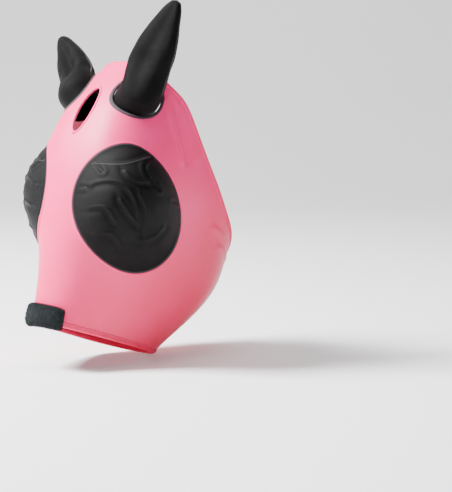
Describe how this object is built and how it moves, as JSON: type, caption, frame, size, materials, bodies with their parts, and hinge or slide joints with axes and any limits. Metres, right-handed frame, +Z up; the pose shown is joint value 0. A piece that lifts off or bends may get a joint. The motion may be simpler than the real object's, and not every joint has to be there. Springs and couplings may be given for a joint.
{
  "type": "stretch fly mask",
  "caption": "Pull-on stretch fly mask for a horse, with domed mesh eye panels, ear covers that turn, a forelock opening and a fleece nose pad.",
  "frame": {"origin": "on the poll, at the middle of the crown band, where the horse's head carries the mask", "axes": "+Z up, -Y the way the face looks, +X the horse's left; the face line leans 21 degrees forward of vertical"},
  "size_m": [0.3129, 0.3648, 0.554],
  "materials": {
    "stretch_cloth": "satin stretch knit",
    "hem_cloth": "satin stretch knit, folded and coverstitched",
    "eye_mesh": "fine open knit mesh",
    "dark_seam": "overlocked seam",
    "ear_cloth": "matt stretch knit",
    "ear_mesh": "fine knit mesh",
    "fleece": "short pile fleece"
  },
  "bodies": {
    "head_cover": {"hood": "stretch_cloth", "rear_hem": "hem_cloth", "nose_hem": "hem_cloth", "jaw_seam_tape": "hem_cloth", "forelock_binding": "hem_cloth", "nose_fleece": "fleece", "left_eye_mesh_upper": "eye_mesh", "left_eye_mesh_lower": "eye_mesh", "left_eye_seam": "dark_seam", "left_ear_binding": "dark_seam", "right_eye_mesh_upper": "eye_mesh", "right_eye_mesh_lower": "eye_mesh", "right_eye_seam": "dark_seam", "right_ear_binding": "dark_seam"},
    "left_ear_cover": {"left_ear_back": "ear_cloth", "left_ear_front": "ear_mesh", "left_ear_piping": "dark_seam"},
    "right_ear_cover": {"right_ear_back": "ear_cloth", "right_ear_front": "ear_mesh", "right_ear_piping": "dark_seam"}
  },
  "joints": [
    {"name": "left_ear_turn", "type": "hinge", "parent": "head_cover", "child": "left_ear_cover", "pos_m": [0.065, 0.0043, -0.0306], "axis": [0.6978, -0.08, 0.7118], "range_deg": [-95, 20], "stiffness_Nm_per_rad": 0.1},
    {"name": "right_ear_turn", "type": "hinge", "parent": "head_cover", "child": "right_ear_cover", "pos_m": [-0.065, 0.0043, -0.0306], "axis": [-0.6978, -0.08, 0.7118], "range_deg": [-97, 18], "stiffness_Nm_per_rad": 0.1}
  ]
}
